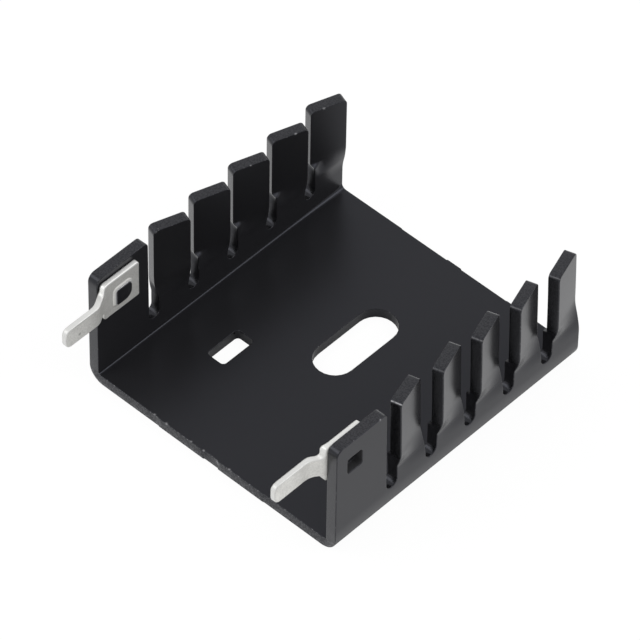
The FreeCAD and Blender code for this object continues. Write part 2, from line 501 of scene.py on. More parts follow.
class PressTree:
    """A geometry tree that presses a flat blank in millimetres into a piece in metres."""

    def __init__(self, name: str) -> None:
        """Make the empty tree.

        Args:
            name: Its name.
        """
        self.tree = bpy.data.node_groups.new(name, "GeometryNodeTree")
        self.graph = Graph(self.tree)
        self.tree.interface.new_socket("Blank", in_out="INPUT", socket_type="NodeSocketGeometry")
        self.tree.interface.new_socket("Material", in_out="INPUT", socket_type="NodeSocketMaterial")
        self.tree.interface.new_socket("Pressed", in_out="OUTPUT", socket_type="NodeSocketGeometry")
        self.entry = self.tree.nodes.new("NodeGroupInput")

    def sizes(self, owner: Any, *names: str) -> list[Socket]:
        """Give number inputs for sizes, each added to the tree when it is first asked for.

        Args:
            owner: What has the sizes.
            names: Their names, which without their underscores are the inputs' titles.

        Returns:
            The inputs' sockets.
        """
        sockets = []
        for name in names:
            title = name.replace("_", " ").title()
            if title not in self.entry.outputs:
                entry = self.tree.interface.new_socket(title, in_out="INPUT", socket_type="NodeSocketFloat")
                entry.default_value = getattr(owner, name)
            sockets.append(Socket(self.graph, self.entry.outputs[title]))
        return sockets

    def finish(self, x: Socket, y: Socket, z: Socket, masks: dict[str, Socket]) -> bpy.types.NodeTree:
        """Place the blank's points, store the masks, set the material and close the tree.

        Args:
            x: The points' first coordinate, in millimetres.
            y: Their second.
            z: Their third.
            masks: The point attributes to store, by name.

        Returns:
            The tree.
        """
        add = self.graph.add
        place = add("ShaderNodeCombineXYZ", inputs={"X": x * MM, "Y": y * MM, "Z": z * MM})
        blank, finish = (Socket(self.graph, self.entry.outputs[name]) for name in ("Blank", "Material"))
        for name, mask in masks.items():
            blank = add("GeometryNodeStoreNamedAttribute", {"data_type": "FLOAT", "domain": "POINT"},
                        {"Geometry": blank, "Name": name, "Value": mask})
        pressed = add("GeometryNodeSetPosition", inputs={"Geometry": blank, "Position": place})
        whole = add("GeometryNodeRealizeInstances", inputs={"Geometry": pressed})
        dressed = add("GeometryNodeSetMaterial", inputs={"Geometry": whole, "Material": finish})
        self.graph.feed(self.tree.nodes.new("NodeGroupOutput"), {"Pressed": dressed})
        return self.tree


def pressed_object(blank: bpy.types.Object, tree: bpy.types.NodeTree, values: dict[str, Any]) -> None:
    """Run a geometry tree on an object and keep the result as its plain mesh.

    Args:
        blank: The object, whose mesh is replaced.
        tree: The tree.
        values: Value of each input that has no value of its own.
    """
    modifier = blank.modifiers.new("press", "NODES")
    modifier.node_group = tree
    for item in tree.interface.items_tree:
        if item.in_out == "INPUT" and item.name in values:
            modifier[item.identifier] = values[item.name]
    evaluated = blank.evaluated_get(bpy.context.evaluated_depsgraph_get())
    mesh = bpy.data.meshes.new_from_object(evaluated)
    mesh.name = blank.name
    blank.modifiers.remove(modifier)
    blank.data = mesh


def new_material(name: str) -> tuple[bpy.types.Material, Graph, bpy.types.Node]:
    """Start a material.

    Args:
        name: Its name.

    Returns:
        The material, its graph and its shader.
    """
    material = bpy.data.materials.new(name)
    material.use_nodes = True
    return material, Graph(material.node_tree), material.node_tree.nodes["Principled BSDF"]


@dataclass(frozen=True)
class Speck:
    """A ragged spot where the finish is chipped, in millimetres."""

    place: Place
    radius: float
    strength: float = 0.45
    raggedness: float = 2.0
    fade: Span = (1.0, 2.2)

    def mask(self, graph: Graph, place: Socket, noise: Socket) -> Socket:
        """Build the spot's mask.

        Args:
            graph: Where the nodes go.
            place: The place on the surface, in metres.
            noise: What moves the spot's rim in and out.

        Returns:
            The mask, highest in the middle of the spot.
        """
        middle = [MM * part for part in self.place]
        distance = graph.add("ShaderNodeVectorMath", {"operation": "DISTANCE"}, {0: place, 1: middle},
                             output="Value")
        ragged = distance / (self.radius * MM) + noise * self.raggedness
        return (1 - ragged.share(*self.fade)) * self.strength


@dataclass(frozen=True)
class BlackAnodise:
    """Semi-gloss black oxide on aluminium, coarse where the sheet was sheared, bare where it is chipped.

    A span named for a rise or a fall says where that begins and ends: in metres along the channel
    or up, in millimetres through the metal, or in the values of a noise. Any other span holds a
    strength on the cut edges and the strength on the fins' tops.
    """

    face_color: Color = (0.0142, 0.0141, 0.0152)
    cut_color: Color = (0.0050, 0.0050, 0.0055)
    crumb_color: Color = (0.022, 0.022, 0.024)
    bare_color: Color = (0.62, 0.62, 0.64)
    specular_tint: Color = (0.80, 0.83, 1.0)
    ior: float = 1.34
    coat_ior: float = 1.33
    coat_roughness: float = 0.2
    coat: Span = (0.4, 0.5)
    flaked_coat_loss: float = 0.1
    rolled_coat: float = 0.35
    face_roughness: float = 0.31
    burnished_roughness: float = 0.16
    cut_roughness: float = 0.20
    cloud_roughness: float = 0.04
    recess_roughness: float = 0.15
    crumb_roughness: Span = (0.05, 0.15)
    crumb_show: Span = (0.4, 1.0)
    grain_scale: float = 9000.0
    grain_detail: float = 2.0
    crumb_scale: float = 5500.0
    cloud_scale: float = 180.0
    crumb_rise: Span = (0.38, 0.62)
    flake_rise: Span = (0.45, 0.62)
    chip_rise: Span = (0.60, 0.72)
    top_rise: Span = (0.0130, 0.0132)
    near_end_fall: Span = (-0.0158, -0.0154)
    base_edge_fall: Span = (0.0012, 0.0014)
    torn_fall: Span = (0.2, 0.6)
    edge_chips: float = 0.25
    flaked_chips: float = 0.08
    sheared_chips: float = 0.03
    wear_base: float = 0.1
    crumb_relief: Span = (0.1, 1.0)
    sheared_relief: float = 3.0
    depth_relief: float = 12.0
    face_bump: float = 0.08
    sheared_bump: float = 0.5
    top_bump: float = 0.17
    recess_bump: float = 0.8
    bump_distance: float = 0.00002
    specks: tuple[Speck, ...] = (
        Speck((-13.95, 13.31, 13.28), 0.15), Speck((-13.62, 9.27, 13.28), 0.14),
        Speck((-13.83, 3.61, 13.28), 0.10), Speck((-14.22, -8.0, 13.2), 0.13),
        Speck((-14.40, -7.62, 13.25), 0.08), Speck((14.98, -10.45, 13.25), 0.12),
        Speck((-5.42, -15.88, 1.1), 0.16), Speck((-2.4, -15.88, 1.1), 0.10),
        Speck((-0.88, -15.86, 1.1), 0.13), Speck((0.83, -15.84, 0.8), 0.22),
        Speck((2.26, -15.88, 1.1), 0.12), Speck((-6.95, -15.86, 1.1), 0.13),
    )

    def material(self) -> bpy.types.Material:
        """Build the material.

        Returns:
            The material, which reads the masks of the blank, of the press and of the fins' quirks.
        """
        material, graph, shader = new_material("black_anodise")
        place = graph.add("ShaderNodeTexCoord", output="Object")
        cut, bare, depth, burnished, recess, rolled, wear = graph.masks(
            "cut", "bare", "depth", "burnished", "recess", "rolled", "wear")
        grain = graph.noise(place, self.grain_scale, self.grain_detail)
        crumb, cloud = graph.noise(place, self.crumb_scale), graph.noise(place, self.cloud_scale)
        along, height = graph.parts(place, "YZ")
        top = height.share(*self.top_rise)
        rough_cut = cut * crumb.share(*self.crumb_rise)

        # The base's near edge is sheared: its oxide flakes, most where the metal tore off last.
        sheared = (1 - along.share(*self.near_end_fall)) * (1 - height.share(*self.base_edge_fall)) * cut
        flaked = sheared * crumb.share(*self.flake_rise)
        torn = (sheared * self.sheared_chips + flaked * self.flaked_chips) \
            * (1 - depth.share(*self.torn_fall))
        chipped = cut.hump() * (crumb.share(*self.chip_rise) + flaked) * self.edge_chips
        chipped = (chipped + flaked * self.flaked_chips + torn).calc("MAXIMUM", bare)
        for speck in self.specks:
            chipped = chipped.calc("MAXIMUM", speck.mask(graph, place, crumb))
        chipped = chipped.calc("MAXIMUM", (wear * wear * (self.wear_base + crumb)).clamped())

        plain = graph.mixed(cut, self.face_color, self.cut_color)
        surface = graph.mixed(rough_cut * top.between(*self.crumb_show), plain, self.crumb_color)
        smooth = cut.between(burnished.between(self.face_roughness, self.burnished_roughness),
                             self.cut_roughness)
        roughness = smooth + cloud * self.cloud_roughness + rough_cut * top.between(*self.crumb_roughness) \
            + recess * cut * self.recess_roughness
        relief = grain * (1 - burnished) + cut * crumb * top.between(*self.crumb_relief) \
            + sheared * crumb * self.sheared_relief - depth * depth * self.depth_relief
        bump = graph.add("ShaderNodeBump", inputs={
            "Height": relief, "Distance": self.bump_distance,
            "Strength": self.face_bump + sheared * self.sheared_bump
            + cut * (top * self.top_bump + recess * self.recess_bump)})
        coat = cut * (1 - recess) * (top.between(*self.coat) - flaked * self.flaked_coat_loss)
        graph.feed(shader, {
            "Base Color": graph.mixed(chipped, surface, self.bare_color), "Metallic": chipped,
            "Roughness": roughness, "Normal": bump, "Coat Weight": coat + rolled * self.rolled_coat,
            "Coat Roughness": self.coat_roughness, "Coat IOR": self.coat_ior, "IOR": self.ior,
            "Specular Tint": (*self.specular_tint, 1)})
        return material


@dataclass(frozen=True)
class TinPlate:
    """Matt tin, mottled and a little warm, with painted light on the plates' upper edges and on the left pin,
    and painted shade on their lower cut edges.

    A span named for a rise or a fall says where that begins and ends: in metres, in millimetres
    through the metal, or in the values of a noise. What shows of the cut edge follows the grain.
    """

    plate_color: Color = (0.74, 0.735, 0.705)
    # The left pin's tin is painted lighter than the right pin's: painted light on the same metal.
    left_pin_color_with_painted_light: Color = (1.0, 0.995, 0.955)
    right_pin_color: Color = (0.78, 0.775, 0.745)
    # Dull tin for the mottle and the scuff, also used as painted shade on the lower cut edges.
    dull_tin_and_painted_shade_color: Color = (0.40, 0.395, 0.375)
    cut_color: Color = (0.74, 0.74, 0.725)
    # Painted highlight along the plates' upper cut edges.
    painted_highlight_color: Color = (0.95, 0.95, 0.93)
    metallic: float = 0.4
    roughness: float = 0.36
    mottle_roughness: float = 0.12
    grain_scale: float = 6500.0
    cloud_scale: float = 900.0
    grain_share: float = 0.65
    mottle_rise: Span = (0.36, 0.64)
    mottle_dullness: float = 0.4
    # Painted shade on the plates' lower cut edges.
    low_painted_shade: float = 0.8
    cut_show: Span = (0.8, 1.2)
    # How much of the painted highlight the right tab keeps.
    right_painted_highlight_share: float = 0.4
    right_rise: Span = (-0.001, 0.001)
    plate_rise: Span = (-0.0190, -0.0168)
    low_fall: Span = (0.0090, 0.0095)
    high_rise: Span = (0.0116, 0.0122)
    rim_fall: Span = (0.64, 0.70)
    cut_relief: float = 5.0
    face_bump: float = 0.25
    edge_bump: float = 0.6
    bump_distance: float = 0.00003
    scuff: Speck = Speck((-12.39, -19.53, 10.5), 0.17, strength=0.99)

    def material(self) -> bpy.types.Material:
        """Build the material.

        Returns:
            The material, which reads the blank's masks.
        """
        material, graph, shader = new_material("tin_plate")
        place = graph.add("ShaderNodeTexCoord", output="Object")
        cut, depth = graph.masks("cut", "depth")
        grain, cloud = graph.noise(place, self.grain_scale), graph.noise(place, self.cloud_scale)
        across, along, height = graph.parts(place)
        mottle = (cloud * (1 - self.grain_share) + grain * self.grain_share).share(*self.mottle_rise)
        dull = (mottle * self.mottle_dullness + self.scuff.mask(graph, place, grain)).clamped()
        right, plate = across.share(*self.right_rise), along.share(*self.plate_rise)
        low, high = 1 - height.share(*self.low_fall), height.share(*self.high_rise)
        edge = cut.hump() * (1 - depth.share(*self.rim_fall))
        # Painted highlight: the plates' upper cut edges and edge crests are painted lighter, less so on the
        # right tab.
        painted_highlight = plate * high * right.between(1.0, self.right_painted_highlight_share) * cut.calc("MAXIMUM", edge)
        # The mix starts from the left pin's colour, which is painted lighter as painted light.
        color: Any = self.left_pin_color_with_painted_light
        # The lower cut edges are mixed toward the dull colour as painted shade.
        for share, other in ((right, self.right_pin_color), (plate, self.plate_color),
                             (dull, self.dull_tin_and_painted_shade_color), (cut * grain.between(*self.cut_show), self.cut_color),
                             (low * cut * self.low_painted_shade, self.dull_tin_and_painted_shade_color), (painted_highlight, self.painted_highlight_color)):
            color = graph.mixed(share, color, other)
        bump = graph.add("ShaderNodeBump", inputs={
            "Height": grain + cut * self.cut_relief, "Strength": self.face_bump + edge * self.edge_bump,
            "Distance": self.bump_distance})
        graph.feed(shader, {"Base Color": color, "Roughness": self.roughness + mottle * self.mottle_roughness,
                            "Normal": bump, "Metallic": self.metallic})
        return material


@dataclass(frozen=True)
class Stake:
    """Where one tab is staked to its wall: side is -1 on the left and 1 on the right."""

    side: int
    stud_setback: float
    jog_angle: float
    plate_rise: float = 0.0
    plate_advance: float = 0.0


@dataclass(frozen=True)
class StudSizes:
    """The square stud pushed out of each wide fin, its peened end rounder on its far side."""

    width: float = 1.86
    corner_radius: float = 0.25
    far_low_radius: float = 0.85
    far_high_radius: float = 0.45
    middle_height: float = 10.4
    height: float = 0.87

    def outline(self) -> Ring:
        """Draw the peened end.

        Returns:
            Its points about its middle, along the channel and up.
        """
        half, corner = self.width / 2, self.corner_radius
        return rounded([(-half, -half, corner), (half, -half, self.far_low_radius),
                        (half, half, self.far_high_radius), (-half, half, corner)])


@dataclass(frozen=True)
class Quirk:
    """How one fin of the photographed part differs from its row.

    It may sway along the channel at its top, twist less by some degrees, bear the bite of the
    twisting tool on its inner face, lower than the others, and be worn across its near top corner.
    """

    sway: float = 0.0
    ease: float = 0.0
    bite: float = 0.0
    bite_drop: float = 0.0
    wear: float = 0.0


@dataclass(frozen=True)
class Folded:
    """Where the fold puts a point of the sheet.

    It holds the distance from the channel's middle, the height, the share of the bend that lies
    before the point, and the share of the metal that lies outside it.
    """

    x: Socket
    z: Socket
    turned: Socket
    through: Socket


@dataclass(frozen=True)
class ChannelSheet:
    """The aluminium sheet: its blank, and the press that folds it and twists its fins."""

    width: float = 29.97
    length: float = 31.75
    height: float = 13.3
    thickness: float = 1.12
    bend_inner: float = 0.2
    bend_outer: float = 1.7
    bend_swell: float = 0.3
    swell_reach: float = 7.0
    bend_run: float = 1.6
    bend_polish: float = 8.0
    fin_count: int = 5
    fin_pitch: float = 5.05
    gap_width: float = 1.36
    gap_floor: float = 2.95
    fin_near_corner: float = 0.5
    fin_far_corner: float = 0.42
    wide_near_corner: float = 0.8
    wide_far_corner: float = 0.5
    left_taper: float = 0.06
    right_taper: float = 0.18
    left_twist: float = 19.0
    right_twist: float = 17.5
    twist_setback: float = 1.48
    kick_low: float = 5.15
    kick_high: float = 6.9
    twist_high: float = 7.5
    left_lean: float = 0.0
    right_lean: float = 0.2
    bite_low: float = 6.42
    bite_high: float = 6.62
    bite_start: float = 0.25
    bite_end: float = 0.95
    recess_rise: float = 0.4
    recess_fade: float = 0.8
    rolled_low: float = 0.9
    rolled_full: float = 1.8
    rolled_fade: float = 2.0
    rolled_end: float = 2.9
    wear_radius: float = 0.13
    left_quirks: tuple[Quirk, ...] = (Quirk(sway=-0.1), *[Quirk(sway=-0.05, bite=1.0)] * 4)
    right_quirks: tuple[Quirk, ...] = (Quirk(sway=-0.17, ease=2.0, bite=1.0, bite_drop=0.2, wear=1.0),
                                       Quirk(sway=0.08, bite=1.0, bite_drop=0.6, wear=0.5),
                                       *[Quirk(bite=1.0, bite_drop=0.6, wear=0.6)] * 3)
    slot_width: float = 4.07
    slot_length: float = 9.5
    slot_middle: float = 2.8
    slot_straight: float = 0.0001
    hole_width: float = 2.07
    hole_length: float = 4.0
    hole_middle: Point = (-7.63, -5.4)
    hole_corner: float = 0.4
    hole_spacing: float = 0.6
    cut_width: float = 12.7
    cut_step: float = 0.05
    cut_slant: float = 0.1
    notch_width: float = 1.6
    notch_depth: float = 0.09
    rolled_edge: float = 0.07
    burr_edge: float = 0.04
    stud: StudSizes = StudSizes()

    @property
    def near(self) -> float:
        """The end with the tabs."""
        return -self.length / 2

    @property
    def far(self) -> float:
        """The other end."""
        return self.length / 2

    @property
    def flat_half(self) -> float:
        """Where the flat base ends and the bend begins."""
        return self.width / 2 - self.bend_outer

    @property
    def root(self) -> float:
        """Height of the fins' roots."""
        return self.gap_floor + self.gap_width / 2

    @property
    def wide_far(self) -> float:
        """The wide fin's far edge."""
        return self.far - self.fin_count * self.fin_pitch

    @property
    def fin_width(self) -> float:
        """Width of a twisted fin."""
        return self.fin_pitch - self.gap_width

    def across(self, height: float) -> float:
        """Place across the flat blank of a height on the wall."""
        return self.flat_half + self.bend_run + height - self.bend_outer

    def wall_path(self, taper: float) -> Ring:
        """Draw a wall's edge in the flat blank, from the near end to the far end.

        Args:
            taper: How much the wide fin narrows from its root to its top.

        Returns:
            The points in order, as the right wall has them.
        """
        top, root, gap = self.across(self.height), self.across(self.root), self.gap_width
        path = rounded([(0, self.near, 0), (top, self.near, self.wide_near_corner),
                        (top, self.wide_far - taper, self.wide_far_corner),
                        (root, self.wide_far, 0)], closed=False)[1:]
        for index in range(self.fin_count):
            gap_middle = self.wide_far + gap / 2 + index * self.fin_pitch
            near_edge, far_edge = gap_middle + gap / 2, gap_middle - gap / 2 + self.fin_pitch
            path.extend(arc((root, gap_middle), gap / 2, 270, 90)[1:-1])
            path.extend(rounded([(root, near_edge, 0), (top, near_edge, self.fin_near_corner),
                                 (top, far_edge, self.fin_far_corner), (root, far_edge, 0)], closed=False))
        return path[:-1]

    def end_path(self, end: float) -> Ring:
        """Draw the base's cut line at one end, with its step and notch.

        Args:
            end: Where that end of the channel is.

        Returns:
            The points, from left to right.
        """
        cut, notch = self.cut_width / 2, self.notch_width / 2
        step, floor = end - self.cut_step, end - self.cut_step + self.notch_depth
        half = [(notch, floor), (notch + self.cut_slant, step), (cut, step), (cut + self.cut_slant, end)]
        return [(-u, v) for u, v in half[::-1]] + half

    def u_lines(self) -> list[float]:
        """Set out lines along the blank, close together where it is bent or twisted.

        Returns:
            The lines' places across the blank, sorted.
        """
        base_steps, bend_steps = 9, 12
        base = [self.flat_half * step / base_steps for step in range(base_steps)]
        bend = [self.flat_half + self.bend_run * step / bend_steps for step in range(bend_steps + 1)]
        stretches = [(self.bend_outer, self.root, 5), (self.root, self.kick_low, 5),
                     (self.kick_low, self.bite_low, 6), (self.bite_low, self.bite_high, 2),
                     (self.bite_high, self.kick_high, 2), (self.kick_high, self.twist_high, 2),
                     (self.twist_high, self.height, 8)]
        wall = [self.across(low + (high - low) * step / count)
                for low, high, count in stretches for step in range(1, count + 1)]
        half = base + bend + wall[:-1]
        return sorted({round(sign * u, 6) for u in half for sign in (-1, 1)})

    def lattice(self) -> list[Point]:
        """Set out points inside the blank, close together on the walls.

        Returns:
            The points.
        """
        first, spacing, count = 0.5, 0.55, 11
        gap_shares, fin_steps, base_steps, base_margin = (0.25, 0.5, 0.75), 8, 22, 1
        fine = [self.near + first + step * spacing for step in range(count)]
        for index in range(self.fin_count):
            gap_start = self.wide_far + index * self.fin_pitch
            start = gap_start + self.gap_width
            fine += [gap_start + self.gap_width * share for share in gap_shares]
            fine += [start + self.fin_width * step / fin_steps for step in range(1, fin_steps)]
        coarse = [self.near + self.length * step / base_steps for step in range(1, base_steps)]
        return [(u, v) for u in self.u_lines()
                for v in (coarse if abs(u) < self.flat_half - base_margin else fine)]

    def stud_profiles(self) -> tuple[Profile, Profile]:
        """Draw the profiles of the pocket and the stud, the sides of which the punch leaves bare.

        Returns:
            The pocket's, from the outer face in, and the stud's, from the inner face out.
        """
        lip, support, bend, step = 0.06, 0.05, 0.3, 0.03
        punched, scraped = 1.06, 2.0
        depth, foot = self.stud.height, self.thickness
        top = foot + depth
        pocket = [(-lip - support, 0.0, 0.0), (-lip, 0.0, 0.0), (-lip * bend, lip * bend, 0.5),
                  (0.0, lip, punched), (0.0, depth - lip, punched), (lip * bend, depth - lip * bend, 0.5),
                  (lip, depth, 0.0)]
        stud = [(-support, foot, 0.0), (0.0, foot, 1.0), (0.0, foot + support, scraped),
                (0.0, top - lip - step, scraped), (0.0, top - lip, 1.0),
                (lip * bend, top - lip * bend, 0.3), (lip, top, 0.0)]
        return pocket, stud

    def blank(self, stakes: list[Stake]) -> Blank:
        """Cut the flat blank, with its pockets and studs.

        Args:
            stakes: Where the tabs are staked.

        Returns:
            The blank, in millimetres.
        """
        blank = Blank()
        left, right = self.wall_path(self.left_taper), self.wall_path(self.right_taper)
        outline = self.end_path(self.near) + right + self.end_path(self.far)[::-1]
        outline += [(-u, v) for u, v in left[::-1]]
        profile = cut_profile(self.thickness, self.rolled_edge, self.burr_edge)
        hole_profile = [(-inset, depth, cut) for inset, depth, cut in profile]
        slot = rectangle((0, self.slot_middle), self.slot_width, self.slot_length,
                         self.slot_width / 2 - self.slot_straight)
        hole = rectangle(self.hole_middle, self.hole_width, self.hole_length, self.hole_corner)

        # The rings that bound the outer face and the inner face, in pairs. The outline's comes first.
        pairs = [blank.edge(divided(outline, self.u_lines(), EDGE_SPACING), profile)]
        pairs += [blank.edge(divided(ring, [], self.hole_spacing), hole_profile) for ring in (slot, hole)]
        pocket_profile, stud_profile = self.stud_profiles()
        for stake in stakes:
            middle = (stake.side * self.across(self.stud.middle_height), self.near + stake.stud_setback)
            punched = rectangle(middle, self.stud.width, self.stud.width, self.stud.corner_radius)
            peened = [(middle[0] + stake.side * rise, middle[1] + run) for run, rise in self.stud.outline()]
            mouth, floor = blank.edge(punched, pocket_profile)
            foot, top = blank.edge(peened[::-stake.side], stud_profile)
            pairs.append((mouth, foot))
            blank.fill(floor)
            blank.fill(top)
        lattice = self.lattice()
        for outer, *holes in zip(*pairs):
            blank.fill(outer, holes, lattice)
        return blank

    def quirks(self, u: float, v: float) -> dict[str, float]:
        """What is particular to the fin at a point of the blank.

        Args:
            u: Place across the blank.
            v: Place along it.

        Returns:
            Value of each of the fin's masks at that point.
        """
        start = self.wide_far + self.gap_width
        index = math.floor((v - start + self.gap_width / 2) / self.fin_pitch)
        if index < 0:
            return asdict(Quirk())
        index = min(index, self.fin_count - 1)
        values = asdict((self.left_quirks if u < 0 else self.right_quirks)[index])
        inset = self.fin_near_corner * (1 - math.sqrt(0.5))
        worn = Vector((self.across(self.height) - inset, start + index * self.fin_pitch + inset))
        values["wear"] *= max(0.0, 1 - (worn - Vector((abs(u), v))).length / self.wear_radius)
        return values

    def folded(self, tree: PressTree, reach: Socket, v: Socket, depth: Socket) -> Folded:
        """Fold the walls up.

        The outer line of a bend is one arc. Its inner line is a tighter arc between two short
        straight leads, and opens towards the far end.

        Args:
            tree: Where the nodes go.
            reach: Distance across the blank from its middle.
            v: Place along it.
            depth: Depth in the metal.

        Returns:
            Where the fold puts the point.
        """
        width, sheet, outer, inner, run = tree.sizes(
            self, "width", "thickness", "bend_outer", "bend_inner", "bend_run")
        swell, swell_reach, far = tree.sizes(self, "bend_swell", "swell_reach", "far")
        flat_half = width / 2 - outer
        bend = ((reach - flat_half) / run).clamped()
        rise = (reach - flat_half - run).calc("MAXIMUM", 0)
        flat = reach.calc("MINIMUM", flat_half)
        inner = inner + v.share(far - swell_reach, far) * swell
        lead = outer - sheet - inner
        ease = lead / (2 * lead + inner * (math.pi / 2))
        before, after = (bend / ease).clamped(), ((bend - 1 + ease) / ease).clamped()
        turned = ((bend - ease) / (1 - 2 * ease)).clamped()
        outer_x, outer_z = outer * bend.sine(90), outer * (1 - bend.cosine(90))
        inner_x = lead * before + inner * turned.sine(90)
        inner_z = sheet + inner * (1 - turned.cosine(90)) + lead * after
        through = depth / sheet
        x = flat + outer_x + (inner_x - outer_x) * through
        z = rise + outer_z + (inner_z - outer_z) * through
        return Folded(x, z, turned, through)

    def twisted(self, tree: PressTree, side: Socket, v: Socket, folded: Folded, is_fin: Socket,
                far_rise: Socket) -> tuple[Socket, Socket]:
        """Twist the fins.

        A fin's near edge is kicked out over a short height, later where the tool bites the inner
        face. The rest of the fin turns more slowly about the pivot.

        Args:
            tree: Where the nodes go.
            side: -1 on the left wall and 1 on the right one.
            v: Place along the blank.
            folded: Where the fold has put the point.
            is_fin: 0 on the wide fin, and 1 from the middle of the first gap on.
            far_rise: How much of the slow turn the point's height has.

        Returns:
            Distance from the channel's middle, and place along the channel.
        """
        width, sheet, pitch, gap, first = tree.sizes(
            self, "width", "thickness", "fin_pitch", "gap_width", "wide_far")
        root, top, kick_low, kick_high = tree.sizes(self, "root", "height", "kick_low", "kick_high")
        left_twist, right_twist, setback = tree.sizes(self, "left_twist", "right_twist", "twist_setback")
        left_lean, right_lean = tree.sizes(self, "left_lean", "right_lean")
        bite_low, bite_high, bite_start, bite_end = tree.sizes(
            self, "bite_low", "bite_high", "bite_start", "bite_end")
        sway, eased, bite, drop = (
            tree.graph.add("GeometryNodeInputNamedAttribute", {"data_type": "FLOAT"}, {"Name": name})
            for name in ("sway", "ease", "bite", "bite_drop"))
        x, z = folded.x, folded.z
        fin_width, is_right = pitch - gap, (side + 1) / 2
        index = ((v - first - gap / 2) / pitch).calc("FLOOR")
        middle = first + gap + fin_width / 2 + index * pitch
        pivot = middle + setback - fin_width / 2
        along, from_middle = v - pivot, x - (width - sheet) / 2
        slant = (left_twist + (right_twist - left_twist) * is_right - eased).sine(1)
        near_rise = z.share(kick_low, kick_high) * is_fin
        bitten = bite * folded.through * (1 - (along + setback).share(bite_start, bite_end))
        near_rise = near_rise + ((z + drop).share(bite_low, bite_high) - near_rise) * bitten
        near_out = setback * slant * near_rise.sine(90)
        far_in = (fin_width - setback) * slant * (1 - far_rise.cosine(180)) / 2
        turn = (near_out + far_in) / fin_width
        turn_cosine = (1 - turn * turn).calc("SQRT")
        lean_rise = z.share(root, top) * is_fin
        lean = (left_lean + (right_lean - left_lean) * is_right) * lean_rise * lean_rise
        twisted_x = x + near_out - (along + setback) * turn - lean + from_middle * (turn_cosine - 1)
        twisted_y = pivot + along * turn_cosine + from_middle * turn + sway * far_rise
        return twisted_x, v + (twisted_y - v) * is_fin

    def marks(self, tree: PressTree, folded: Folded, is_fin: Socket, far_rise: Socket) -> dict[str, Socket]:
        """Find what the tools leave on the faces.

        Args:
            tree: Where the nodes go.
            folded: Where the fold has put the point.
            is_fin: 0 on the wide fin, and 1 from the middle of the first gap on.
            far_rise: How much of the slow turn the point's height has.

        Returns:
            The masks of the burnished faces, of the recesses beside the fins' roots and of the sheen
            that the rolls leave low on the walls' outer faces.
        """
        root, kick_low, bite_low, recess_rise, recess_fade = tree.sizes(
            self, "root", "kick_low", "bite_low", "recess_rise", "recess_fade")
        rolled_low, rolled_full, rolled_fade, rolled_end = tree.sizes(
            self, "rolled_low", "rolled_full", "rolled_fade", "rolled_end")
        z, outward = folded.z, 1 - folded.through
        bent = folded.turned.hump(self.bend_polish) * folded.through
        recess = z.share(root - recess_rise, root) * (1 - z.share(kick_low + recess_fade, bite_low)) * is_fin
        rolled = z.share(rolled_low, rolled_full) * (1 - z.share(rolled_fade, rolled_end)) * outward
        return {"burnished": (far_rise * outward).calc("MAXIMUM", bent), "recess": recess, "rolled": rolled}

    def press(self) -> bpy.types.NodeTree:
        """Build the tree that folds the blank and twists its fins.

        Returns:
            The tree.
        """
        tree = PressTree("press_and_twist")
        u, v, depth = tree.graph.parts(tree.graph.add("GeometryNodeInputPosition"))
        first, gap, root, twist_high = tree.sizes(self, "wide_far", "gap_width", "root", "twist_high")
        side = u.calc("SIGN")
        folded = self.folded(tree, u.calc("ABSOLUTE"), v, depth)
        is_fin = v.calc("GREATER_THAN", first + gap / 2)
        far_rise = folded.z.share(root, twist_high) * is_fin
        x, y = self.twisted(tree, side, v, folded, is_fin, far_rise)
        return tree.finish(side * x, y, folded.z, self.marks(tree, folded, is_fin, far_rise))

    def build(self, stakes: list[Stake], finish: bpy.types.Material) -> bpy.types.Object:
        """Cut, fold and twist the sheet.

        Args:
            stakes: Where the tabs are staked.
            finish: The sheet's material.

        Returns:
            The sheet, as a plain mesh object.
        """
        blank = self.blank(stakes)
        quirks = [self.quirks(u, v) for u, v, _ in blank.points]
        masks = {name: [values[name] for values in quirks] for name in asdict(Quirk())}
        piece = bpy.data.objects.new("channel_sheet", blank.mesh("channel_sheet", masks=masks))
        bpy.context.scene.collection.objects.link(piece)
        pressed_object(piece, self.press(), {"Material": finish})
        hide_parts("heat_sink_body")
        return piece


